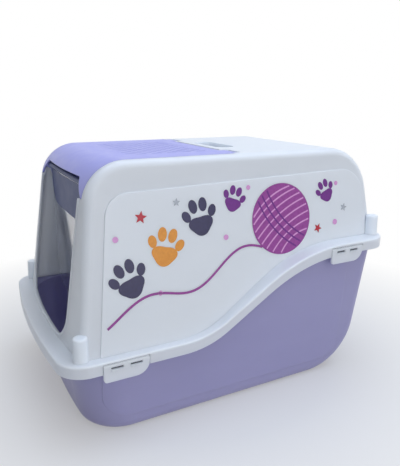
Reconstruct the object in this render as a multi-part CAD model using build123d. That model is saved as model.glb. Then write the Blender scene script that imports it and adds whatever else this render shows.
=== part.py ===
"""Covered litter box: tray, clipped hood, flip-up lid with a swing door, in millimetres.

The door faces -Y and the box stands on Z = 0.
"""

from build123d import *
import os
from math import cos, radians, sin, sqrt, tan

# Rim line, seen from the side: level at the front, a ramp, level at the back
rim_front = 134.0
rim_rear = 240.0
ramp_start = -102.0
ramp_angle = 32.0
ramp_low_radius = 132.0
ramp_high_radius = 270.0

# Flange of the hood, a plate with a skirt and the widest outline of the box
flange_half_width = 191.0
flange_front = -268.0
flange_front_bow = 14.0
flange_rear = 282.0
flange_corner = 40.0
flange_thickness = 3.0
flange_edge_round = 2.4
skirt_depth = 17.0
skirt_wall = 2.5

# Rolled rim of the tray, inside the skirt and under the flange
roll_side_gap = 7.0
roll_front_gap = 6.5
roll_rear_gap = 4.5
roll_corner = 34.0
roll_thickness = 2.2
roll_depth = 12.0
seat_gap = 0.3
roll_half_width = flange_half_width - skirt_wall - roll_side_gap
roll_front = flange_front + skirt_wall + roll_front_gap
roll_rear = flange_rear - skirt_wall - roll_rear_gap

# Tray, with walls that lean out from its foot to the rolled rim
tray_side_inset = 4.5
tray_front_inset = 14.2
tray_rear_inset = 14.0
tray_front_bow = 11.0
tray_corner = 66.0
tray_side_lean = 0.064
tray_front_lean = 0.14
tray_rear_lean = 0.105
tray_wall = 2.6
tray_floor = 3.0
tray_foot_round = 18.0
tray_heel_round = 93.0
tray_foot_half_width = roll_half_width - tray_side_inset - tray_side_lean * rim_rear
tray_foot_front = roll_front + tray_front_inset + tray_front_lean * rim_front
tray_foot_rear = roll_rear - tray_rear_inset - tray_rear_lean * rim_rear

# Raised side panel of the tray
tray_panel_rise = 1.2
tray_panel_front_inset = 13.0
tray_panel_rear_inset = 32.0
tray_panel_low = 27.0
tray_panel_round = 34.0
tray_panel_front = tray_foot_front + tray_panel_front_inset
tray_panel_rear = tray_foot_rear - tray_panel_rear_inset

# Hood shell, set in from the edge of the flange, with a bowed front
hood_top = 384.5
hood_side_lean = 0.15
hood_front_lean = 0.15
hood_front_round = 60.0
hood_bow_radius = 1100.0
hood_rear_lean = 0.128
hood_rear_round = 75.0
hood_edge_round = 12.0
hood_side_wall = 2.5
hood_wall = 5.0
flange_ledge_side = 15.4
flange_ledge_front = 24.0
flange_ledge_rear = 11.0
hood_half_width_top = (
    flange_half_width - flange_ledge_side - hood_side_lean * (hood_top - rim_front)
)
hood_front = flange_front - flange_front_bow + flange_ledge_front
hood_rear = flange_rear - flange_ledge_rear
hood_bow_axis = hood_front + hood_bow_radius

# Raised side panel of the hood
hood_panel_rise = 1.6
hood_panel_front_gap = 39.5
hood_panel_rear_gap = 14.0
hood_panel_front_lean = 0.125
hood_panel_front_drop = 41.5
hood_panel_rear_drop = 32.5
hood_panel_front_round = 32.0
hood_panel_rear_round = 46.0
hood_panel_front_top = hood_top - hood_panel_front_drop
hood_panel_rear_top = hood_top - hood_panel_rear_drop

# Corner posts on the flange
post_side_inset_front = 20.0
post_front_inset = 25.5
post_side_inset_rear = 27.0
post_rear_inset = 20.0
post_radius = 10.5
post_height = 33.0
post_draft = 2.0
post_top_round = 2.5

# Door opening in the front wall, with a bead round it and a thinner wall beside it
opening_side_margin = 20.0
opening_sill_rise = 3.5
opening_round = 40.0
bead_width = 3.0
bead_rise = 1.0
opening_edge_wall = 2.2
opening_edge_width = 12.0
opening_half_width = hood_half_width_top - opening_side_margin
opening_sill = rim_front + opening_sill_rise

# Lid, flush with the hood, with a pointed leg at each side of its notch
lid_thickness = 2.6
lid_margin = 9.5
lid_gap = 0.5
lid_bed_gap = 0.3
lid_rear = 8.0
lid_leg_drop = 47.5
lid_leg_tip = 3.0
lid_ledge = 8.0
notch_side_margin = 31.5
notch_drop = 23.5
notch_round = 9.0
finger_slot = 6.0
lid_half_width = hood_half_width_top - lid_margin
lid_leg_end = hood_top - lid_leg_drop
notch_half_width = lid_half_width - notch_side_margin
notch_top = hood_top - notch_drop

# Vents through the lid, in staggered rows
vent_length = 16.0
vent_width = 2.6
vent_pitch_x = 10.0
vent_pitch_y = 24.0
vent_side_margin = 42.5
vent_rear_margin = 22.0
vent_rows = 5

# Lid hinge
hinge_step = 9.0
hinge_drop = 6.0
hinge_knuckle_radius = 5.0
hinge_pin_radius = 2.0
lug_side_inset = 8.5
lug_length = 36.0
lug_side_gap = 0.6
ear_length = 5.5
pocket_rear_gap = 3.2
running_gap = 0.07
press_gap = 0.02
hinge_y = lid_rear + hinge_step
hinge_z = hood_top - hinge_drop
lug_outer = lid_half_width - lug_side_inset
lug_inner = lug_outer - lug_length

# Room behind the lid, which its lower rear edge needs as it turns up past the hood's edge
lid_edge_drop = hinge_drop - lid_thickness
lid_edge_reach = sqrt(hinge_step**2 + lid_edge_drop**2 - hinge_drop**2)
lid_rear_gap = hinge_step - lid_edge_reach + lid_gap

# Finger recess behind the lid
recess_length = 96.0
recess_width = 34.0
recess_depth = 12.0
recess_step = 20.0
recess_round = 14.0
recess_wall = 2.5
recess_front = lid_rear + recess_step

# Swing door, hung from the lid
door_axis_drop = 32.5
door_lid_gap = 0.5
door_barrel_radius = 4.0
door_side_gap = 6.0
door_sill_gap = 12.0
door_thickness = 2.4
door_bow_radius = 2400.0
door_corner = 46.0
door_pin_radius = 2.0
door_pin_grip = 14.0
door_end_gap = 1.0
door_boss_radius = 6.0
cheek_side_gap = 6.0
cheek_half_spacing = opening_half_width - cheek_side_gap
door_half_width = cheek_half_spacing - door_side_gap
door_axis_z = hood_top - door_axis_drop
door_length = door_axis_z - opening_sill - door_sill_gap

# The door's barrel lies close behind the lid's rounded front, which is bowed over its width
front_round_z = hood_top - hood_front_round
front_round_y = (
    hood_front
    + hood_front_lean * (front_round_z - rim_front)
    + hood_front_round * sqrt(1 + hood_front_lean**2)
)
door_axis_round = hood_front_round - lid_thickness - door_lid_gap - door_barrel_radius
door_axis_step = sqrt(door_axis_round**2 - (door_axis_z - front_round_z) ** 2)
door_axis_y = front_round_y + door_half_width**2 / (2 * hood_bow_radius) - door_axis_step

# Cheeks on the sides of the lid
cheek_thickness = 2.0
cheek_front_step = 12.5
cheek_depth = 112.5
cheek_rear_margin = 118.0
cheek_end_margin = 60.0
cheek_round = 14.0
cheek_rear_round = 42.0
cheek_front = door_axis_y + cheek_front_step
cheek_low = hood_top - cheek_depth
cheek_rear = lid_rear - cheek_rear_margin
cheek_end = lid_rear - cheek_end_margin

# Odour filter under the vents
filter_length = 130.0
filter_width = 84.0
filter_height = 9.0
filter_wall = 2.0
filter_bar = 3.0
filter_bar_pitch = 18.0
filter_fit = 0.4
filter_y = lid_rear - vent_rear_margin - vent_rows * vent_pitch_y / 2

# Side clips, hung on pins under the flange
clip_width = 64.0
clip_height = 29.5
clip_front_step = 80.5
clip_rear_step = 96.0
clip_knuckle_radius = 4.5
clip_axis_inset = 4.0
clip_plate = 3.0
clip_top_gap = 0.4
clip_side_gap = 0.6
clip_ear = 4.0
clip_pin_radius = 1.5
clip_corner_round = 5.0
clip_tail_round = 19.0
clip_slot_length = 16.6
clip_slot_height = 3.2
clip_slot_depth = 2.2
clip_slot_offset = 13.4
clip_slot_drop = 10.2
clip_lip_rise = 0.9
clip_lip_height = 1.6
clip_catch_height = 3.6
clip_catch_gap = 0.6
clip_catch_clear = 0.35
clip_front_y = flange_front + clip_front_step
clip_rear_y = flange_rear - clip_rear_step
clip_axis_x = flange_half_width - clip_axis_inset

# How far a short cut runs past a face, and the reach of the cutting shapes, well past the box
overshoot = 1.0
reach = hood_top + flange_half_width
hood_low = rim_front - 2 * skirt_depth
bow_sweep = 60.0


def block(x, y, z):
    """Box between the given pairs of limits."""
    size = (x[1] - x[0], y[1] - y[0], z[1] - z[0])
    centre = ((x[0] + x[1]) / 2, (y[0] + y[1]) / 2, (z[0] + z[1]) / 2)
    return Pos(*centre) * Box(*size)


def rod(radius, start, end, y, z):
    """Round bar along X."""
    bar = Cylinder(radius, abs(end - start))
    return Pos((start + end) / 2, y, z) * Rot(0, 90, 0) * bar


def rod_y(radius, start, end, x, z):
    """Round bar along Y."""
    bar = Cylinder(radius, abs(end - start))
    return Pos(x, (start + end) / 2, z) * Rot(90, 0, 0) * bar


def along_x(face):
    """Shape drawn in Y and Z, carried right across the box."""
    return extrude(Plane.YZ * face, reach, both=True)


def along_y(face):
    """Shape drawn in X and Z, carried through the box from front to back."""
    return extrude(Plane.XZ * face, reach, both=True)


def rounded(points, radii):
    """Polygon whose corners have the given radii, 0 for a sharp one."""
    face = make_face(Polyline(*points, close=True))
    for point, radius in zip(points, radii):
        if radius:
            corner = face.vertices().sort_by_distance((*point, 0))[0]
            face = fillet(corner, radius)
    return face


def both_sides(shape):
    return shape + mirror(shape, about=Plane.YZ)


def plan(half_width, front, bow, rear, corner):
    """Outline from above, with a bowed front edge."""
    edges = [
        Line((half_width, front), (half_width, rear)),
        Line((half_width, rear), (-half_width, rear)),
        Line((-half_width, rear), (-half_width, front)),
        ThreePointArc((-half_width, front), (0, front - bow), (half_width, front)),
    ]
    return fillet(make_face(edges).vertices(), corner)


def column(face):
    """Outline from above, carried through the whole height."""
    return extrude(face, reach)


def rim_height(y):
    """Height of the rim line."""
    start, low, high, end = ramp_points()
    if y <= start[0]:
        return rim_front
    if y <= low[0]:
        return rim_front + ramp_low_radius - sqrt(ramp_low_radius**2 - (y - start[0]) ** 2)
    if y <= high[0]:
        return low[1] + (y - low[0]) * tan(radians(ramp_angle))
    if y <= end[0]:
        return rim_rear - ramp_high_radius + sqrt(ramp_high_radius**2 - (end[0] - y) ** 2)
    return rim_rear


def ramp_points():
    """Ends of the ramp's two rounds, as Y and Z."""
    angle = radians(ramp_angle)
    low_z = rim_front + ramp_low_radius * (1 - cos(angle))
    low = (ramp_start + ramp_low_radius * sin(angle), low_z)
    high_z = rim_rear - ramp_high_radius * (1 - cos(angle))
    high = (low[0] + (high_z - low[1]) / tan(angle), high_z)
    end = (high[0] + ramp_high_radius * sin(angle), rim_rear)
    return (ramp_start, rim_front), low, high, end


def below_rim(drop):
    """Everything under the rim line, lowered by drop."""
    start, low, high, end = ramp_points()
    half = radians(ramp_angle / 2)
    rise = 1 - cos(half)
    low_middle = (start[0] + ramp_low_radius * sin(half), rim_front + ramp_low_radius * rise)
    high_middle = (end[0] - ramp_high_radius * sin(half), rim_rear - ramp_high_radius * rise)
    edges = [
        Line((-reach, rim_front), start),
        ThreePointArc(start, low_middle, low),
        Line(low, high),
        ThreePointArc(high, high_middle, end),
        Line(end, (reach, rim_rear)),
        Line((reach, rim_rear), (reach, -reach)),
        Line((reach, -reach), (-reach, -reach)),
        Line((-reach, -reach), (-reach, rim_front)),
    ]
    return Pos(0, 0, -drop) * along_x(make_face(edges))


def tray_plan(z, inset):
    """Outline of the tray's front and sides at a height, open-ended behind its rear wall."""
    face = plan(
        tray_foot_half_width + tray_side_lean * z - inset,
        tray_foot_front - tray_front_lean * z + inset,
        tray_front_bow,
        reach,
        tray_corner - inset,
    )
    return Pos(0, 0, z) * face


def tray_profile(inset, low, top):
    """Tray from the side: its floor, a wide round at the heel and the leaning rear wall."""
    foot = tray_foot_rear - inset
    points = [
        (-reach, low),
        (foot + tray_rear_lean * low, low),
        (foot + tray_rear_lean * top, top),
        (-reach, top),
    ]
    return along_x(rounded(points, [0, tray_heel_round - inset, 0, 0]))


def tray_body(inset, low):
    """Solid inside the tray's wall, from a height up to above the rim."""
    top = rim_rear + skirt_depth
    walls = loft([tray_plan(low, inset), tray_plan(top, inset)], ruled=True)
    return walls & tray_profile(inset, low, top)


def round_foot(body, radius):
    """Tray body with the edges rounded along its floor, its heel and its rear wall."""

    def under_or_behind(face):
        normal = face.normal_at()
        return normal.Y > 0.5 or normal.Z < -0.5

    def on_outline(edge):
        middle = edge.center()
        return middle.Y < 0 or abs(middle.X) > overshoot

    edges = body.faces().filter_by(under_or_behind).edges().filter_by(on_outline)
    return fillet(edges, radius)


def roll_plan(inset):
    return plan(
        roll_half_width - inset,
        roll_front + inset,
        flange_front_bow,
        roll_rear - inset,
        roll_corner - inset,
    )


def make_tray():
    outer = round_foot(tray_body(0, 0), tray_foot_round)
    panel = [
        (tray_panel_front, tray_panel_low),
        (tray_panel_rear, tray_panel_low),
        (tray_panel_rear, rim_rear),
        (tray_panel_front, rim_rear),
    ]
    panel = along_x(rounded(panel, [tray_panel_round, tray_panel_round, 0, 0]))
    raised = (tray_body(-tray_panel_rise, tray_floor) & panel) - tray_body(tray_wall / 2, 0)
    inside = round_foot(tray_body(tray_wall, tray_floor), tray_foot_round - tray_wall)
    seat = flange_thickness + seat_gap
    wall = (outer + (raised & below_rim(seat + roll_depth)) - inside) & below_rim(seat)
    lip = (column(roll_plan(0)) - inside) & (below_rim(seat) - below_rim(seat + roll_thickness))
    turned_edge = column(roll_plan(0)) - column(roll_plan(roll_thickness))
    turned_edge = turned_edge & (below_rim(seat) - below_rim(seat + roll_depth))
    return wall + lip + turned_edge


def hood_outline(inset):
    """Everything inside the hood's bowed front, its top and its back, moved in by inset."""
    top = hood_top - inset
    front_in = inset * sqrt(1 + hood_front_lean**2)
    rear_in = inset * sqrt(1 + hood_rear_lean**2)

    def front(z):
        return (hood_front + hood_front_lean * (z - rim_front) + front_in, z)

    def rear(z):
        return (hood_rear - hood_rear_lean * (z - rim_rear) - rear_in, z)

    points = [front(hood_low), front(top), (reach, top), (reach, hood_low)]
    face = Plane.YZ * rounded(points, [0, hood_front_round - inset, 0, 0])
    axis = Axis((0, hood_bow_axis, 0), (0, 0, 1))
    bowed = revolve(face, axis, bow_sweep).rotate(axis, -bow_sweep / 2)
    points = [(-reach, hood_low), (-reach, top), rear(top), rear(hood_low)]
    return bowed & along_x(rounded(points, [0, 0, hood_rear_round - inset, 0]))


def side_wedge(inset):
    """Everything between the hood's two leaning side planes, moved in by inset."""
    inward = inset * sqrt(1 + hood_side_lean**2)

    def half_width(z):
        return hood_half_width_top + hood_side_lean * (hood_top - z) - inward

    low, high = hood_low - overshoot, hood_top + overshoot
    corners = [
        (half_width(low), low),
        (half_width(high), high),
        (-half_width(high), high),
        (-half_width(low), low),
    ]
    return along_y(make_face(Polyline(*corners, close=True)))


def hood_body(wall_inset, side_inset):
    """Solid hood with rounded edges along both sides."""
    body = hood_outline(wall_inset) & side_wedge(side_inset)
    sides = body.faces().sort_by(Axis.X)
    rims = sides[0].edges() + sides[-1].edges()
    rims = rims.filter_by(lambda edge: edge.center().Z > hood_low + overshoot)
    return fillet(rims, hood_edge_round - side_inset)


def skin(outside, inside):
    """Layer of the hood's front, top and back between two depths."""
    return hood_outline(outside) - hood_outline(inside)


def door_hole(grow):
    """Door opening, grown by the width of its bead."""
    half = opening_half_width + grow
    sill = opening_sill - grow
    round_ = opening_round + grow
    corners = [(-half, sill), (half, sill), (half, notch_top), (-half, notch_top)]
    hole = along_y(rounded(corners, [round_, round_, 0, 0]))
    return hole & block((-reach, reach), (-reach, 0), (0, reach))


def flange_plan(inset):
    return plan(
        flange_half_width - inset,
        flange_front + inset,
        flange_front_bow,
        flange_rear - inset,
        flange_corner - inset,
    )


def corner_posts(inside):
    """Four posts that stand on the flange against the corners of the hood."""
    posts = []
    front = (flange_half_width - post_side_inset_front, flange_front + post_front_inset, rim_front)
    rear = (flange_half_width - post_side_inset_rear, flange_rear - post_rear_inset, rim_rear)
    for x, y, rim in (front, rear):
        height = post_height + flange_thickness / 2
        foot = Circle(post_radius)
        post = extrude(foot, height, taper=post_draft)
        post = fillet(post.faces().sort_by(Axis.Z)[-1].edges(), post_top_round)
        posts.append(both_sides(Pos(x, y, rim - flange_thickness / 2) * post - inside))
    return posts


def clip_places():
    """Names of the right-hand clips, with their middle and the lowest flange over them."""
    places = [("front", clip_front_y), ("rear", clip_rear_y)]
    return [(name, y, rim_height(y - clip_width / 2)) for name, y in places]


def clip_axis_z(rim):
    return rim - flange_thickness - clip_top_gap - clip_knuckle_radius


def clip_gap_limits(y):
    half = clip_width / 2 + clip_side_gap
    return y - half, y + half


def clip_ears(y, rim):
    """Two lugs of the hood that hold a clip's pin."""
    axis_z = clip_axis_z(rim)
    low, high = clip_gap_limits(y)
    ears = []
    for start, end in [(low - clip_ear, low), (high, high + clip_ear)]:
        x = (clip_axis_x - clip_knuckle_radius, flange_half_width - skirt_wall / 2)
        top = rim_height((start + end) / 2) - flange_thickness / 2
        ears.append(block(x, (start, end), (axis_z - clip_knuckle_radius, top)))
    return ears


def hinge_rod(radius):
    """Right-hand pin of the lid's hinge, or its hole."""
    return rod(radius, lug_inner - ear_length, lug_outer + ear_length, hinge_y, hinge_z)


def clip_rod(radius, y, rim):
    """Pin of a right-hand clip, or its hole."""
    low, high = clip_gap_limits(y)
    return rod_y(radius, low - clip_ear, high + clip_ear, clip_axis_x, clip_axis_z(rim))


def make_hood():
    inside = hood_body(hood_wall, hood_side_wall)
    shell = hood_body(0, 0) - inside
    panel_lean = hood_panel_front_lean
    front_foot = hood_front + hood_panel_front_gap
    rear_foot = hood_rear - hood_panel_rear_gap
    panel = [
        (front_foot + panel_lean * (hood_low - rim_front), hood_low),
        (front_foot + panel_lean * (hood_panel_front_top - rim_front), hood_panel_front_top),
        (rear_foot - hood_rear_lean * (hood_panel_rear_top - rim_rear), hood_panel_rear_top),
        (rear_foot - hood_rear_lean * (hood_low - rim_rear), hood_low),
    ]
    panel = along_x(rounded(panel, [0, hood_panel_front_round, hood_panel_rear_round, 0]))
    raised = (side_wedge(-hood_panel_rise) - side_wedge(hood_side_wall / 2)) & panel
    bead = skin(-bead_rise, hood_wall) & (door_hole(bead_width) - door_hole(0))
    bead = bead & block((-reach, reach), (-reach, 0), (0, lid_leg_end - lid_gap))
    thinned = skin(opening_edge_wall, hood_wall + overshoot) & door_hole(opening_edge_width)
    thinned_z = (opening_sill - bead_width, lid_leg_end - lid_gap - bead_width)
    thinned = thinned & block((-reach, reach), (-reach, 0), thinned_z)
    walls = shell + raised + bead - thinned - below_rim(flange_thickness)

    flange = column(flange_plan(0)) & (below_rim(0) - below_rim(skirt_depth))
    top_edges = flange.faces().filter_by(lambda face: face.normal_at().Z > 0.5).edges()
    inner = column(flange_plan(skirt_wall / 2))
    outer_edges = top_edges.filter_by(lambda edge: not inner.is_inside(edge.center()))
    flange = fillet(outer_edges, flange_edge_round)
    channel = column(flange_plan(skirt_wall)) & below_rim(flange_thickness)
    flange = flange - channel - inside
    for _, y, rim in clip_places():
        low, high = clip_gap_limits(y)
        gap = block((0, reach), (low, high), (rim - reach, rim - flange_thickness))
        flange = flange - both_sides(gap & below_rim(flange_thickness))

    hood = walls + flange
    for post in corner_posts(inside):
        hood = hood + post
    hood = hood + recess_pan() - recess_cut()
    hood = hood + lid_hinge_ears() - lid_bed() - door_hole(0)
    hood = hood - both_sides(hinge_rod(hinge_pin_radius + press_gap))
    for _, y, rim in clip_places():
        for ear in clip_ears(y, rim):
            hood = hood + both_sides(ear)
        hood = hood - both_sides(clip_rod(clip_pin_radius + press_gap, y, rim))
    return hood


def lid_region(gap, rear_gap):
    """Where the lid lies: the front of the top and the upper front."""
    half = lid_half_width + gap
    return block((-half, half), (-reach, lid_rear + rear_gap), (lid_leg_end - gap, reach))


def lid_bed():
    """Cuts in the hood for the lid: its bed, the opening under it and its hinge pockets."""
    bed = skin(-overshoot, lid_thickness + lid_bed_gap) & lid_region(lid_gap, lid_rear_gap)
    opening = lid_region(-lid_ledge, -lid_ledge)
    slot = block(
        (ear_length - lug_inner, lug_inner - ear_length),
        (lid_rear - lid_ledge, lid_rear + finger_slot),
        (hood_top - hood_wall - overshoot, reach),
    )
    pocket = block(
        (lug_inner, lug_outer),
        (lid_rear - lid_ledge - overshoot, hinge_y + hinge_knuckle_radius + pocket_rear_gap),
        (hinge_z - hinge_knuckle_radius - pocket_rear_gap, reach),
    )
    return bed + opening + slot + both_sides(pocket)


def lid_hinge_ears():
    """Thick places under the top of the hood that hold the lid's pins."""
    depth = hinge_knuckle_radius + pocket_rear_gap
    z = (hinge_z - hinge_knuckle_radius, hood_top - hood_wall / 2)
    y = (hinge_y - depth, hinge_y + depth)
    inner = block((lug_inner - ear_length, lug_inner), y, z)
    outer = block((lug_outer, lug_outer + ear_length), y, z)
    return both_sides(inner + outer)


def recess_face(grow):
    shape = RectangleRounded(recess_length + 2 * grow, recess_width + 2 * grow, recess_round + grow)
    return Pos(0, recess_front + recess_width / 2) * shape


def recess_pan():
    pan = extrude(recess_face(recess_wall), recess_depth + recess_wall - hood_wall / 2)
    return Pos(0, 0, hood_top - recess_depth - recess_wall) * pan


def recess_cut():
    return Pos(0, 0, hood_top - recess_depth) * extrude(recess_face(0), recess_depth + overshoot)


def vents():
    """Staggered slots, drawn from above."""
    columns = int((lid_half_width - vent_side_margin) // vent_pitch_x)
    places = []
    for column_ in range(-columns, columns + 1):
        shift = vent_pitch_y / 2 if column_ % 2 else 0
        for row in range(vent_rows):
            y = lid_rear - vent_rear_margin - vent_length / 2 - shift - row * vent_pitch_y
            places.append((column_ * vent_pitch_x, y))
    slot = Rot(0, 0, 90) * SlotOverall(vent_length, vent_width)
    return extrude(Sketch() + [Pos(x, y) * slot for x, y in places], reach)


def cheek():
    """Right-hand side cheek of the lid, with the boss for the door's pin."""
    top = hood_top - lid_thickness / 2
    points = [
        (door_axis_y, top),
        (door_axis_y, door_axis_z),
        (cheek_front, cheek_low),
        (cheek_rear, cheek_low),
        (cheek_end, top),
    ]
    face = rounded(points, [0, 0, cheek_round, cheek_rear_round, 0])
    x = (cheek_half_spacing, cheek_half_spacing + cheek_thickness)
    plate = along_x(face) & block(x, (-reach, reach), (0, reach))
    boss = rod(door_boss_radius, door_half_width + door_end_gap, x[1], door_axis_y, door_axis_z)
    return (plate + boss) & hood_outline(lid_thickness / 2)


def make_lid():
    plate = skin(0, lid_thickness) & lid_region(0, 0)
    leg = lid_half_width - lid_leg_tip
    notch_points = [
        (-leg, 0),
        (leg, 0),
        (leg, lid_leg_end),
        (notch_half_width, notch_top),
        (-notch_half_width, notch_top),
        (-leg, lid_leg_end),
    ]
    notch = along_y(rounded(notch_points, [0, 0, 0, notch_round, notch_round, 0]))
    plate = plate - (notch & block((-reach, reach), (-reach, 0), (0, reach)))
    plate = plate - Pos(0, 0, door_axis_z) * vents()
    lug_start, lug_end = lug_inner + lug_side_gap, lug_outer - lug_side_gap
    neck_z = (hood_top - lid_thickness, hood_top)
    neck = block((lug_start, lug_end), (lid_rear - overshoot, hinge_y), neck_z)
    knuckle = rod(hinge_knuckle_radius, lug_start, lug_end, hinge_y, hinge_z)
    hole = rod(hinge_pin_radius + running_gap, lug_inner, lug_outer, hinge_y, hinge_z)
    lid = plate + both_sides(neck + knuckle) - both_sides(hole)
    return lid + both_sides(cheek()) - both_sides(door_rod(door_pin_radius + press_gap))


def door_rod(radius):
    """Right-hand pin of the door, or its hole."""
    start = door_half_width - door_pin_grip
    return rod(radius, start, cheek_half_spacing + cheek_thickness, door_axis_y, door_axis_z)


def make_door():
    """Clear flap, hanging straight down and bowed a little to the front."""
    barrel = rod(door_barrel_radius, -door_half_width, door_half_width, door_axis_y, door_axis_z)
    bow_centre = door_axis_y + door_bow_radius - door_thickness / 2
    tube = Cylinder(door_bow_radius, reach) - Cylinder(door_bow_radius - door_thickness, reach)
    sheet = Pos(0, bow_centre, door_axis_z - reach / 2) * tube
    low = door_axis_z - door_length
    corners = [
        (-door_half_width, low),
        (door_half_width, low),
        (door_half_width, door_axis_z),
        (-door_half_width, door_axis_z),
    ]
    outline = along_y(rounded(corners, [door_corner, door_corner, 0, 0]))
    flap = sheet & (outline & block((-reach, reach), (-reach, 0), (0, reach)))
    hole = door_rod(door_pin_radius + running_gap)
    return barrel + flap - both_sides(hole + Pos(-door_end_gap, 0, 0) * hole)


def make_filter_frame():
    """Open frame under the lid, with bars that hold the pad."""
    top = hood_top - lid_thickness
    outer = Box(filter_length, filter_width, filter_height)
    inner = Box(filter_length - 2 * filter_wall, filter_width - 2 * filter_wall, filter_height)
    frame = outer - inner
    count = int((filter_length - 2 * filter_wall) // filter_bar_pitch)
    for index in range(count):
        x = (index - (count - 1) / 2) * filter_bar_pitch
        bar = Box(filter_bar, filter_width - filter_wall, filter_wall)
        frame = frame + Pos(x, 0, (filter_wall - filter_height) / 2) * bar
    return Pos(0, filter_y, top - filter_height / 2) * frame


def make_filter_pad():
    gap = 2 * (filter_wall + filter_fit)
    height = filter_height - filter_wall - filter_fit
    pad = Box(filter_length - gap, filter_width - gap, height)
    return Pos(0, filter_y, hood_top - lid_thickness - filter_fit - height / 2) * pad


def make_clip(y, rim):
    """Right-hand clip, closed, with its catch just outside the rolled rim."""
    axis_z = clip_axis_z(rim)
    low = rim - clip_height
    start, end = y - clip_width / 2, y + clip_width / 2
    outline = [(start, axis_z), (start, low), (end, low), (end, axis_z)]
    face = rounded(outline, [0, clip_corner_round, clip_tail_round, 0])
    front = clip_axis_x + clip_knuckle_radius
    plate = along_x(face) & block((front - clip_plate, front), (-reach, reach), (0, reach))
    knuckle = rod_y(clip_knuckle_radius, start, end, clip_axis_x, axis_z)
    catch_top = rim - flange_thickness - seat_gap - roll_depth - clip_catch_gap
    catch_x = (roll_half_width + clip_catch_clear, front - clip_plate / 2)
    catch_end = end - clip_tail_round
    catch_z = (catch_top - clip_catch_height, catch_top)
    catch = block(catch_x, (start + clip_corner_round, catch_end), catch_z)
    clip = plate + knuckle + catch
    for offset in (-clip_slot_offset, clip_slot_offset):
        slot_y = (y + offset - clip_slot_length / 2, y + offset + clip_slot_length / 2)
        slot_z = rim - clip_slot_drop
        slot_low, slot_high = slot_z - clip_slot_height / 2, slot_z + clip_slot_height / 2
        lip_z = (slot_low - clip_lip_height, slot_z)
        lip = block((front - overshoot, front + clip_lip_rise), slot_y, lip_z)
        slot_x = (front - clip_slot_depth, front + clip_lip_rise)
        slot = block(slot_x, slot_y, (slot_low, slot_high))
        clip = clip + lip - slot
    return clip - rod_y(clip_pin_radius + running_gap, start, end, clip_axis_x, axis_z)


def left(shape):
    return mirror(shape, about=Plane.YZ)


def build():
    """Every piece under its own name."""
    pieces = {
        "tray": make_tray(),
        "hood_shell": make_hood(),
        "lid_panel": make_lid(),
        "door_flap": make_door(),
        "filter_frame": make_filter_frame(),
        "filter_pad": make_filter_pad(),
    }
    hinge_pin = hinge_rod(hinge_pin_radius)
    door_pin = door_rod(door_pin_radius)
    for name, right in [("lid_hinge_pin", hinge_pin), ("door_pin", door_pin)]:
        pieces[f"{name}_right"] = right
        pieces[f"{name}_left"] = left(right)
    for place, y, rim in clip_places():
        clip, pin = make_clip(y, rim), clip_rod(clip_pin_radius, y, rim)
        for name, right in [("clip", clip), ("clip_pin", pin)]:
            pieces[f"{name}_{place}_right"] = right
            pieces[f"{name}_{place}_left"] = left(right)
    return pieces


os.makedirs("parts", exist_ok=True)
for node, shape in build().items():
    export_step(shape, f"parts/{node}.step")
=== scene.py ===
"""Looks of the covered litter box, in metres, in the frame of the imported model."""

from math import cos, pi, radians, sin, sqrt

import bmesh
import bpy
from mathutils import Matrix, Vector


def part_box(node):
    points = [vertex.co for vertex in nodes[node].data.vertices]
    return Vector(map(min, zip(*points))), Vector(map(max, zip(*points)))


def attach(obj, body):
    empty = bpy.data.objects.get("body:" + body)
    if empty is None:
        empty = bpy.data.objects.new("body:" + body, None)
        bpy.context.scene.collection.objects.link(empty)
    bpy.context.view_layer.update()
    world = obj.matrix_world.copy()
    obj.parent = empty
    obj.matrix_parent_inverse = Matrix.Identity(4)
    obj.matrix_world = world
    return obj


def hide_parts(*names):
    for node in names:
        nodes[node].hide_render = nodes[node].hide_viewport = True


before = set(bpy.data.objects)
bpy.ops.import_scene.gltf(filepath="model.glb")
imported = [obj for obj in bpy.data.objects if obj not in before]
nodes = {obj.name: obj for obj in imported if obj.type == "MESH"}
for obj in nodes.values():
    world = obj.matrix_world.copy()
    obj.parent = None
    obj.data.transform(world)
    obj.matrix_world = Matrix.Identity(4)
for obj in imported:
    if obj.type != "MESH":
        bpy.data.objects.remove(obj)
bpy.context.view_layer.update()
scene = bpy.context.scene
scene.view_settings.view_transform = "Standard"


def rgb(text):
    """Linear colour of a six-digit sRGB one."""
    values = [int(text[i : i + 2], 16) / 255 for i in (0, 2, 4)]
    return [v / 12.92 if v <= 0.04045 else ((v + 0.055) / 1.055) ** 2.4 for v in values] + [1]


# Materials

PLASTIC_IOR = 1.49
GLOW_DEPTH = 0.01


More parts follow.
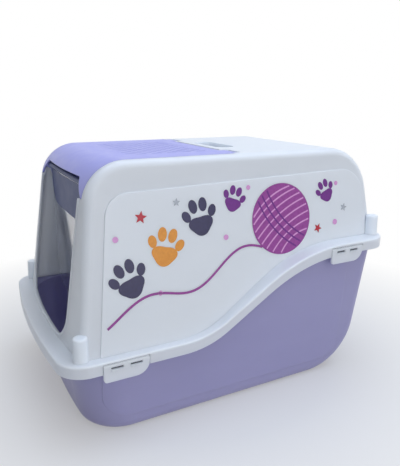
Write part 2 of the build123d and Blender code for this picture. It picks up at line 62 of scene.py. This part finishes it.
class Tree:
    """Node tree of a new material, with its Principled shader."""

    def __init__(self, name):
        self.material = bpy.data.materials.new(name)
        self.material.use_nodes = True
        self.nodes = self.material.node_tree.nodes
        self.links = self.material.node_tree.links
        self.shader = self.nodes["Principled BSDF"]

    def add(self, kind, **values):
        """New node, with its settings and the values of its inputs."""
        node = self.nodes.new("ShaderNode" + kind)
        for key, value in values.items():
            if hasattr(node, key):
                setattr(node, key, value)
            else:
                node.inputs[key].default_value = value
        return node

    def join(self, source, target):
        """Link from an output to an input."""
        self.links.new(source, target)

    def noise(self, scale, detail, stretch=(1, 1, 1)):
        """Noise in the object's own coordinates, in features per metre."""
        place = self.add("TexCoord")
        mapping = self.add("Mapping", Scale=stretch)
        self.join(place.outputs["Object"], mapping.inputs["Vector"])
        texture = self.add("TexNoise", Scale=scale, Detail=detail)
        self.join(mapping.outputs["Vector"], texture.inputs["Vector"])
        return texture.outputs["Fac"]

    def spread(self, value, low, high, start=0.3, end=0.7):
        """A value between start and end, carried over to the range from low to high."""
        node = self.add("MapRange")
        node.inputs["From Min"].default_value = start
        node.inputs["From Max"].default_value = end
        node.inputs["To Min"].default_value = low
        node.inputs["To Max"].default_value = high
        self.join(value, node.inputs["Value"])
        return node.outputs["Result"]

    def tint(self, value, low, high, start=0.3, end=0.7):
        """Colour between low and high, by a value between start and end."""
        ramp = self.add("ValToRGB")
        ramp.color_ramp.elements[0].position = start
        ramp.color_ramp.elements[1].position = end
        ramp.color_ramp.elements[0].color = rgb(low)
        ramp.color_ramp.elements[1].color = rgb(high)
        self.join(value, ramp.inputs["Fac"])
        return ramp.outputs["Color"]

    def relief(self, value, strength, depth, under=None):
        """Normal that a height value bumps, on top of another normal if one is given."""
        bump = self.add("Bump", Strength=strength, Distance=depth)
        self.join(value, bump.inputs["Height"])
        if under is not None:
            self.join(under, bump.inputs["Normal"])
        return bump.outputs["Normal"]


def moulded(name, low, high, gloss, edge, shine=0.5, glow=0.0):
    """Satin moulded plastic with soft edges, a fine grain and slight flow marks.

    low and high are its colours, gloss is the range of its roughness, edge the radius
    of its soft edges, shine its specular level and glow its translucency.
    """
    tree = Tree(name)
    shader = tree.shader
    flow = tree.noise(scale=9, detail=4, stretch=(1, 0.5, 1.6))
    tree.join(tree.tint(flow, low, high), shader.inputs["Base Color"])
    wear = tree.noise(scale=60, detail=5)
    tree.join(tree.spread(wear, gloss[0], gloss[1]), shader.inputs["Roughness"])
    soft = tree.add("Bevel", samples=6, Radius=edge)
    swell = tree.noise(scale=26, detail=2)
    waves = tree.relief(swell, strength=0.10, depth=0.0006, under=soft.outputs["Normal"])
    speckle = tree.noise(scale=1500, detail=2)
    grain = tree.relief(speckle, strength=0.12, depth=0.00006, under=waves)
    tree.join(grain, shader.inputs["Normal"])
    shader.inputs["IOR"].default_value = PLASTIC_IOR
    shader.inputs["Specular IOR Level"].default_value = shine
    shader.inputs["Subsurface Weight"].default_value = glow
    shader.inputs["Subsurface Radius"].default_value = (1.0, 1.0, 1.0)
    shader.inputs["Subsurface Scale"].default_value = GLOW_DEPTH
    return tree.material


def clear_sheet():
    """Clear polished sheet with faint drag marks."""
    tree = Tree("clear_sheet")
    shader = tree.shader
    shader.inputs["Base Color"].default_value = rgb("f1f4fa")
    shader.inputs["Transmission Weight"].default_value = 1.0
    shader.inputs["IOR"].default_value = PLASTIC_IOR
    haze = tree.noise(scale=40, detail=4)
    tree.join(tree.spread(haze, 0.02, 0.09), shader.inputs["Roughness"])
    drag = tree.noise(scale=70, detail=2, stretch=(3, 1, 0.4))
    marks = tree.relief(drag, strength=0.06, depth=0.0004)
    tree.join(marks, shader.inputs["Normal"])
    return tree.material


def foam():
    """Open-cell carbon foam."""
    tree = Tree("carbon_foam")
    shader = tree.shader
    place = tree.add("TexCoord")
    cells = tree.add("TexVoronoi", Scale=900.0)
    tree.join(place.outputs["Object"], cells.inputs["Vector"])
    depth = cells.outputs["Distance"]
    # Darker where the cells sink deeper: painted shade in the pores.
    colour = tree.tint(depth, "1a1b1e", "33353a", start=0.1, end=0.6)
    tree.join(colour, shader.inputs["Base Color"])
    pores = tree.relief(depth, strength=0.8, depth=0.0008)
    tree.join(pores, shader.inputs["Normal"])
    shader.inputs["Roughness"].default_value = 0.95
    return tree.material


def ink(name, low, high):
    """Printed film: slightly glossy ink with a faint unevenness."""
    tree = Tree(name)
    shader = tree.shader
    blotch = tree.noise(scale=220, detail=4)
    tree.join(tree.tint(blotch, low, high), shader.inputs["Base Color"])
    wear = tree.noise(scale=400, detail=3)
    tree.join(tree.spread(wear, 0.28, 0.38), shader.inputs["Roughness"])
    grain = tree.relief(tree.noise(scale=1500, detail=2), strength=0.1, depth=0.00004)
    tree.join(grain, shader.inputs["Normal"])
    return tree.material


white = moulded("white_moulded", "eaeff6", "eef2f9", (0.30, 0.40), 0.0016, glow=0.75)
# One lavender plastic in two copies: the tray's copy is duller and greyer, as painted shade for
# its shaded sides; the lid's copy on the next line is bluer and brighter, as painted light for
# its lit top.
lavender_painted_shade = moulded("lavender_painted_shade_moulded", "a29ec6", "a7a3cb", (0.34, 0.46), 0.0014, glow=0.5)
lavender_painted_light = moulded("lavender_painted_light", "9fa0e4", "a4a5e9", (0.34, 0.46), 0.0014)
# Dark plastic as painted shade, for the floor of the clips' slots.
slot_painted_shade = moulded("slot_shade", "5c6068", "666a72", (0.60, 0.70), 0.0004, shine=0.2)
# Dark plastic as painted shade: it stands for the shaded inside of the lid behind the clear
# flap, on the flap's bar and on the band across its top.
flap_painted_shade = moulded("flap_painted_shade_plastic", "575f82", "60688c", (0.40, 0.50), 0.0004, shine=0.12)
clear = clear_sheet()
carbon = foam()
inks = {
    "magenta": ink("ink_magenta", "8c3789", "9a4196"),
    "plum": ink("ink_plum", "661a7a", "711f86"),
    "navy": ink("ink_navy", "232049", "2a2753"),
    "orange": ink("ink_orange", "da8a2a", "e69733"),
    "red": ink("ink_red", "ae1b31", "bc2037"),
    "grey": ink("ink_grey", "abafb8", "b5b9c1"),
    "rose": ink("ink_rose", "d493cb", "dca0d4"),
}

finishes = {
    "door_flap": clear,
    "filter_pad": carbon,
    "tray": lavender_painted_shade,
    "lid_panel": lavender_painted_light,
    "filter_frame": lavender_painted_light,
}
for name, node in nodes.items():
    node.data.materials.clear()
    node.data.materials.append(finishes.get(name, white))


# Clips: painted shade on the floor of their two slots

SLOT_FLOOR_X, SLOT_NEAR = 0.1893, 0.0001

for name, node in nodes.items():
    if name.startswith("clip_front") or name.startswith("clip_rear"):
        node.data.materials.append(slot_painted_shade)
        for face in node.data.polygons:
            if abs(abs(face.center.x) - SLOT_FLOOR_X) < SLOT_NEAR:
                face.material_index = 1


# Door: painted shade on the bar along its axis and on a band across its top, dark like the
# shaded lid behind the clear flap

DOOR_AXIS_Y, DOOR_AXIS_Z = -0.208834, 0.352
DOOR_BARREL = 0.0042
DOOR_THICKNESS = 0.0024
DOOR_BOW = 2.4
BAND_HALF, BAND_TOP, BAND_LOW, BAND_CORNER = 0.1040, 0.0055, 0.060, 0.034
BAND_BACK, BAND_FRONT = 0.00005, 0.0003
BAND_STEPS = 20

flap = nodes["door_flap"].data
# The bar along the door's axis is painted dark too, as painted shade.
flap.materials.append(flap_painted_shade)
for face in flap.polygons:
    y, z = face.center.y - DOOR_AXIS_Y, face.center.z - DOOR_AXIS_Z
    if sqrt(y * y + z * z) < DOOR_BARREL:
        face.material_index = 1


def door_painted_shade_band():
    """Thin closed band on the front of the flap, with rounded lower corners, dark as painted
    shade.
    """
    build = bmesh.new()
    rows = []
    for i in range(2 * BAND_STEPS + 1):
        x = BAND_HALF * sin(pi / 2 * (i / BAND_STEPS - 1))
        over = max(abs(x) - (BAND_HALF - BAND_CORNER), 0)
        low = BAND_LOW - BAND_CORNER + sqrt(max(BAND_CORNER**2 - over**2, 0))
        front = DOOR_AXIS_Y - DOOR_THICKNESS / 2 + x * x / (2 * DOOR_BOW)
        corners = (
            (BAND_FRONT, BAND_TOP),
            (BAND_FRONT, low),
            (BAND_BACK, low),
            (BAND_BACK, BAND_TOP),
        )
        rows.append(
            [build.verts.new((x, front - lift, DOOR_AXIS_Z - drop)) for lift, drop in corners]
        )
    for a, b in zip(rows, rows[1:]):
        for i in range(len(a)):
            j = (i + 1) % len(a)
            build.faces.new((a[i], a[j], b[j], b[i]))
    build.faces.new(rows[0])
    build.faces.new(rows[-1])
    bmesh.ops.recalc_face_normals(build, faces=build.faces)
    mesh = bpy.data.meshes.new("door_painted_shade_band")
    build.to_mesh(mesh)
    build.free()
    mesh.materials.append(flap_painted_shade)
    band = bpy.data.objects.new(mesh.name, mesh)
    scene.collection.objects.link(band)
    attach(band, "door")


door_painted_shade_band()


# Print on the sides of the hood: a ball of yarn, its loose thread, paw prints, stars and dots.
# Its shapes are lists of (y, z) in millimetres.

TOP_HALF_WIDTH = 0.138025
TOP_Z = 0.3845
SIDE_LEAN = 0.15
PANEL_RISE = 0.0016
FILM = 0.00012
MM_PER_M = 1000

BALL_Y, BALL_Z, BALL = 80.0, 284.0, 54.0
STRAND_INSET, STRAND_STEPS = 2.5, 12
THREAD_START_Y, THREAD_START_Z = 38, 246
THREAD_RUN, THREAD_DROP, THREAD_WIDTH = 248, 70, 3.4
THREAD_WAVE, THREAD_WAVES, THREAD_CALM = 15, 1.6, 0.3
THREAD_STEPS = 100
PAD_STEPS = 48
STAR_POINTS, STAR_WAIST = 5, 0.45


def side_point(y, z, side, lift):
    """Point on the leaning face of the hood's raised panel."""
    out = (PANEL_RISE + lift) * sqrt(1 + SIDE_LEAN**2)
    return Vector((side * (TOP_HALF_WIDTH + SIDE_LEAN * (TOP_Z - z) + out), y, z))


def film(name, outlines, colour, layer=1):
    """Thin printed shapes on both sides of the hood, in one of its layers."""
    for word, side in (("right", 1), ("left", -1)):
        build = bmesh.new()
        for outline in outlines:
            top, foot = [], []
            for y, z in outline:
                place = (y / MM_PER_M, z / MM_PER_M, side)
                top.append(build.verts.new(side_point(*place, FILM * layer)))
                foot.append(build.verts.new(side_point(*place, FILM * (layer - 1))))
            build.faces.new(top)
            count = len(outline)
            for i in range(count):
                j = (i + 1) % count
                build.faces.new((top[i], foot[i], foot[j], top[j]))
        bmesh.ops.recalc_face_normals(build, faces=build.faces)
        mesh = bpy.data.meshes.new(f"print_{name}_{word}")
        build.to_mesh(mesh)
        build.free()
        piece = bpy.data.objects.new(mesh.name, mesh)
        scene.collection.objects.link(piece)
        mesh.materials.append(inks[colour])
        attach(piece, "hood")


def turned(y, z, u, v, turn):
    """Point at (u, v) from (y, z), in directions turned by an angle."""
    return (y + u * cos(turn) - v * sin(turn), z + u * sin(turn) + v * cos(turn))


def oval(y, z, half_y, half_z, turn=0.0, count=40):
    """Oval with its middle at (y, z)."""
    angles = [2 * pi * i / count for i in range(count)]
    return [turned(y, z, half_y * cos(a), half_z * sin(a), turn) for a in angles]


def paw(y, z, size, turn):
    """Pad and four toes of a paw print."""

    def spot(u, v):
        return (
            y + size * (u * cos(turn) - v * sin(turn)),
            z + size * (u * sin(turn) + v * cos(turn)),
        )

    def toe(u, v, half_u, half_v, lean):
        return oval(*spot(u, v), half_u * size, half_v * size, turn + lean)

    wide, tall, drop = 1.08, 0.86, 0.22
    pad = []
    for i in range(PAD_STEPS):
        a = 2 * pi * i / PAD_STEPS
        r = 0.40 + 0.05 * cos(3 * (a + pi / 2)) + 0.02 * cos(2 * a)
        pad.append(spot(r * wide * cos(a), r * tall * sin(a) - drop))
    return [
        pad,
        toe(-0.50, 0.18, 0.15, 0.21, 0.45),
        toe(-0.19, 0.46, 0.16, 0.24, 0.12),
        toe(0.19, 0.46, 0.16, 0.24, -0.12),
        toe(0.50, 0.18, 0.15, 0.21, -0.45),
    ]


def star(y, z, size, turn):
    """Five-pointed star with its middle at (y, z)."""
    points = []
    for i in range(2 * STAR_POINTS):
        a = turn + pi * i / STAR_POINTS
        r = size if i % 2 == 0 else size * STAR_WAIST
        points.append((y + r * sin(a), z + r * cos(a)))
    return points


def ribbon(points, width):
    """Outline of a line with width, square at its ends."""
    left, right = [], []
    last = len(points) - 1
    for i, (y, z) in enumerate(points):
        a, b = points[max(i - 1, 0)], points[min(i + 1, last)]
        dy, dz = b[0] - a[0], b[1] - a[1]
        length = sqrt(dy * dy + dz * dz)
        ny, nz = -dz / length * width / 2, dy / length * width / 2
        left.append((y + ny, z + nz))
        right.append((y - ny, z - nz))
    return left + right[::-1]


def strand(turn, offset, bow):
    """One strand across the ball, as a curved line."""
    half = sqrt((BALL - STRAND_INSET) ** 2 - offset**2)
    points = []
    for i in range(2 * STRAND_STEPS + 1):
        t = -1 + i / STRAND_STEPS
        points.append(turned(BALL_Y, BALL_Z, half * t, offset + bow * (1 - t * t), turn))
    return points


def strands(turn, bow, width, offsets):
    """Outlines of strands that lie side by side across the ball."""
    return [ribbon(strand(turn, offset, bow), width) for offset in offsets]


def thread():
    """Loose thread that waves from the ball down to the front, as a line."""
    points = []
    for i in range(THREAD_STEPS + 1):
        t = i / THREAD_STEPS
        wave = THREAD_WAVE * sin(2 * pi * THREAD_WAVES * t) * (1 - THREAD_CALM * t)
        y = BALL_Y - THREAD_START_Y - THREAD_RUN * t
        points.append((y, THREAD_START_Z - THREAD_DROP * t + wave))
    return points


over_strands = strands(turn=0.55, bow=7, width=2.2, offsets=(-42, -31, -20, -9, 2, 13, 24, 33))
wrap_strands = strands(turn=2.3, bow=9, width=2.6, offsets=(-11, 0, 11))
film("ball", [oval(BALL_Y, BALL_Z, BALL, BALL, count=96)], "magenta")
film("ball_strands", over_strands, "rose", layer=2)
film("ball_wrap", wrap_strands, "plum", layer=3)
film("thread", [ribbon(thread(), THREAD_WIDTH)], "magenta")
film("paws_navy", paw(-170, 228, 41, 0.35) + paw(-60, 299, 41, 0.15), "navy")
film("paws_orange", paw(-116, 264, 41, -0.25), "orange")
film("paws_plum", paw(-4, 320, 29, -0.35) + paw(168, 318, 28, 0.4), "plum")
film("stars_red", [star(-148, 310, 9, 0.2), star(150, 262, 8, 0.5)], "red")
film("stars_grey", [star(-95, 325, 6, 0.1), star(205, 290, 7, 0.3)], "grey")
dots = [
    (-185, 285, 4),
    (-20, 268, 4),
    (186, 268, 4.5),
    (190, 330, 3.5),
    (22, 336, 3.5),
    (-128, 205, 3.5),
]
film("dots", [oval(y, z, r, r) for y, z, r in dots], "rose")


# Filter pad: soft foam, a little crowned, in place of its plain solid

FOAM_CUTS = 9
FOAM_SIDE = 0.99
FOAM_PULL = 0.03
FOAM_RIM, FOAM_CROWN = 0.82, 0.16


def foam_pad():
    """Foam block with its sides drawn in a little and its faces crowned."""
    low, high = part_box("filter_pad")
    centre, size = (low + high) / 2, high - low
    build = bmesh.new()
    bmesh.ops.create_cube(build, size=1.0)
    bmesh.ops.subdivide_edges(build, edges=build.edges, cuts=FOAM_CUTS, use_grid_fill=True)
    for vert in build.verts:
        x, y, z = vert.co * 2
        pull_y = FOAM_PULL * (1 - x * x) * (abs(y) > FOAM_SIDE)
        pull_x = FOAM_PULL * (1 - y * y) * (abs(x) > FOAM_SIDE)
        pull = 1 - pull_y - pull_x
        crown = FOAM_RIM + FOAM_CROWN * (1 - x**4) * (1 - y**4)
        local = (x * size.x / 2 * pull, y * size.y / 2 * pull, z * size.z / 2 * crown)
        vert.co = Vector(local) + centre
    mesh = bpy.data.meshes.new("filter_foam_pad")
    build.to_mesh(mesh)
    build.free()
    mesh.polygons.foreach_set("use_smooth", [True] * len(mesh.polygons))
    pad = bpy.data.objects.new(mesh.name, mesh)
    scene.collection.objects.link(pad)
    mesh.materials.append(carbon)
    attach(pad, "lid")
    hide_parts("filter_pad")


foam_pad()


# Stage: pale floor, soft light, camera

FLOOR_HALF = 30
FLOOR_NEAR, FLOOR_FAR = 0.25, 0.75
FLOOR_WHITE_NEAR, FLOOR_WHITE_FAR = 0.3, 1.0
WORLD_COLOUR, WORLD_STRENGTH = (0.94, 0.97, 1.0, 1), 0.31
WHITE = (1, 1, 1, 1)
LIGHT_AIM = Vector((0.0, 0.0, 0.2))


def background_rays(tree):
    """Value that is 1 for the rays that show the background, seen, mirrored or through glass."""
    rays = tree.nodes.new("ShaderNodeLightPath")
    value = rays.outputs["Is Camera Ray"]
    for kind in ("Is Glossy Ray", "Is Transmission Ray"):
        either = tree.nodes.new("ShaderNodeMath")
        either.operation = "MAXIMUM"
        tree.links.new(value, either.inputs[0])
        tree.links.new(rays.outputs[kind], either.inputs[1])
        value = either.outputs[0]
    return value


def floor_paint():
    """Pale matt paint that passes into plain white away from the object."""
    tree = Tree("floor_paint")
    tree.shader.inputs["Base Color"].default_value = rgb("dcdcde")
    tree.shader.inputs["Roughness"].default_value = 0.9
    tree.shader.inputs["Specular IOR Level"].default_value = 0.1
    place = tree.add("TexCoord")
    reach = tree.add("VectorMath", operation="LENGTH")
    tree.join(place.outputs["Object"], reach.inputs[0])
    away = tree.spread(
        reach.outputs["Value"], FLOOR_WHITE_NEAR, FLOOR_WHITE_FAR, FLOOR_NEAR, FLOOR_FAR
    )
    seen = tree.add("Math", operation="MULTIPLY")
    tree.join(away, seen.inputs[0])
    tree.join(background_rays(tree), seen.inputs[1])
    plain = tree.add("Emission", Strength=1.0)
    mix = tree.add("MixShader")
    tree.join(seen.outputs[0], mix.inputs[0])
    tree.join(tree.shader.outputs[0], mix.inputs[1])
    tree.join(plain.outputs[0], mix.inputs[2])
    tree.join(mix.outputs[0], tree.nodes["Material Output"].inputs["Surface"])
    return tree.material


def make_floor():
    """Flat floor under the object."""
    far = FLOOR_HALF
    corners = [(-far, -far, 0), (far, -far, 0), (far, far, 0), (-far, far, 0)]
    mesh = bpy.data.meshes.new("floor")
    mesh.from_pydata(corners, [], [(0, 1, 2, 3)])
    floor = bpy.data.objects.new("floor", mesh)
    scene.collection.objects.link(floor)
    mesh.materials.append(floor_paint())


def make_world():
    """Soft even light from all round, in front of a plain white background."""
    world = bpy.data.worlds.new("studio")
    scene.world = world
    world.use_nodes = True
    sky = world.node_tree
    back = sky.nodes["Background"]
    back.inputs["Color"].default_value = WORLD_COLOUR
    back.inputs["Strength"].default_value = WORLD_STRENGTH
    plain = sky.nodes.new("ShaderNodeBackground")
    plain.inputs["Color"].default_value = WHITE
    plain.inputs["Strength"].default_value = 1.0
    mix = sky.nodes.new("ShaderNodeMixShader")
    sky.links.new(background_rays(sky), mix.inputs[0])
    sky.links.new(back.outputs[0], mix.inputs[1])
    sky.links.new(plain.outputs[0], mix.inputs[2])
    sky.links.new(mix.outputs[0], sky.nodes["World Output"].inputs["Surface"])


def softbox(name, place, side, power, colour):
    """Square area light that faces the object."""
    lamp = bpy.data.lights.new(name, "AREA")
    lamp.shape = "RECTANGLE"
    lamp.size, lamp.size_y = side, side
    lamp.energy = power
    lamp.color = colour
    item = bpy.data.objects.new(name, lamp)
    item.location = place
    item.rotation_mode = "QUATERNION"
    item.rotation_quaternion = (LIGHT_AIM - Vector(place)).to_track_quat("-Z", "Y")
    scene.collection.objects.link(item)


make_floor()
make_world()
softbox("top_light", (0.25, 0.25, 1.7), side=1.8, power=20.5, colour=(0.68, 0.80, 1.0))
softbox("side_light", (2.0, 0.1, 0.7), side=1.4, power=9.8, colour=(1.0, 0.99, 0.96))

AZIMUTH, ELEVATION, ROLL = radians(62.24), radians(15.66), radians(0.36)
DISTANCE, AIM = 0.8758, Vector((0, 0.020, 0.230))
FOCAL_PIXELS, LONG_SIDE, SENSOR = 493.38, 466, 36


def make_camera():
    """Camera at the photograph's viewing angle, turned a little about its own axis."""
    flat = cos(ELEVATION)
    backward = Vector((sin(AZIMUTH) * flat, -cos(AZIMUTH) * flat, sin(ELEVATION)))
    level = Vector((cos(AZIMUTH), sin(AZIMUTH), 0))
    upright = backward.cross(level)
    right = cos(ROLL) * level + sin(ROLL) * upright
    up = cos(ROLL) * upright - sin(ROLL) * level
    lens = bpy.data.cameras.new("camera")
    lens.sensor_width = SENSOR
    lens.lens = SENSOR * FOCAL_PIXELS / LONG_SIDE
    camera = bpy.data.objects.new("camera", lens)
    turn = Matrix((right, up, backward)).transposed().to_4x4()
    camera.matrix_world = Matrix.Translation(AIM + backward * DISTANCE) @ turn
    scene.collection.objects.link(camera)
    scene.camera = camera


make_camera()
